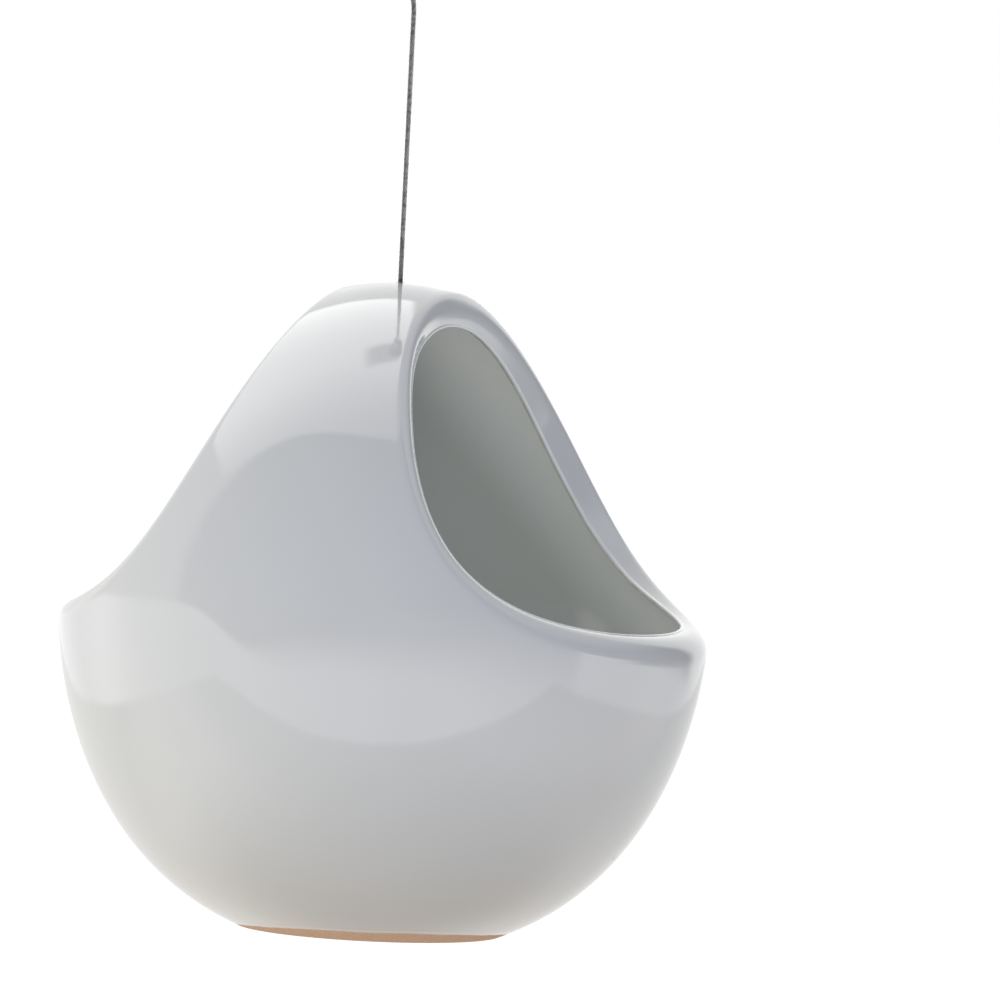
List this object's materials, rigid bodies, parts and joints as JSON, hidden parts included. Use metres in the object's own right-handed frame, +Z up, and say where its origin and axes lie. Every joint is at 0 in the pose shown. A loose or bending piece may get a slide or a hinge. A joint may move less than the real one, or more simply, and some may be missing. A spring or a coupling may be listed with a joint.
{
  "type": "hanging planter",
  "caption": "Glazed ball planter scooped open at its sides under a broad arch, hung on a thin wire rope with a crimped eye from a screw-in ceiling hook",
  "frame": {"origin": "centre of the hook's collar, in the plane where it meets the ceiling", "axes": "+Z up along the wire rope and the hook's screw; X across the pot, through its openings; Y along the arch, with the hook's mouth at -Y"},
  "size_m": [0.1976, 0.1988, 0.3568],
  "materials": {
    "hook_steel": "satin",
    "dark_wire": "satin",
    "crimp_alloy": "satin",
    "washer_steel": "satin",
    "black_rubber": "matte",
    "white_glaze": "gloss"
  },
  "bodies": {
    "ceiling": {"ceiling_hook": "hook_steel"},
    "cable": {"hanging_cable": "dark_wire", "eye_sleeve": "crimp_alloy", "stop_ferrule": "crimp_alloy"},
    "washers": {"steel_washer": "washer_steel", "rubber_pad": "black_rubber"},
    "planter": {"planter_body": "white_glaze"}
  },
  "joints": [
    {"name": "cable_swing", "type": "hinge", "parent": "ceiling", "child": "cable", "pos_m": [0, 0, -0.02621], "axis": [0, 1, 0], "range_deg": [-40, 40]},
    {"name": "pot_tilt", "type": "hinge", "parent": "cable", "child": "washers", "pos_m": [0, 0, -0.146], "axis": [0, 1, 0], "range_deg": [-6, 6]},
    {"name": "pot_spin", "type": "hinge", "parent": "washers", "child": "planter", "pos_m": [0, 0, -0.13956], "axis": [0, 0, 1], "continuous": true}
  ]
}
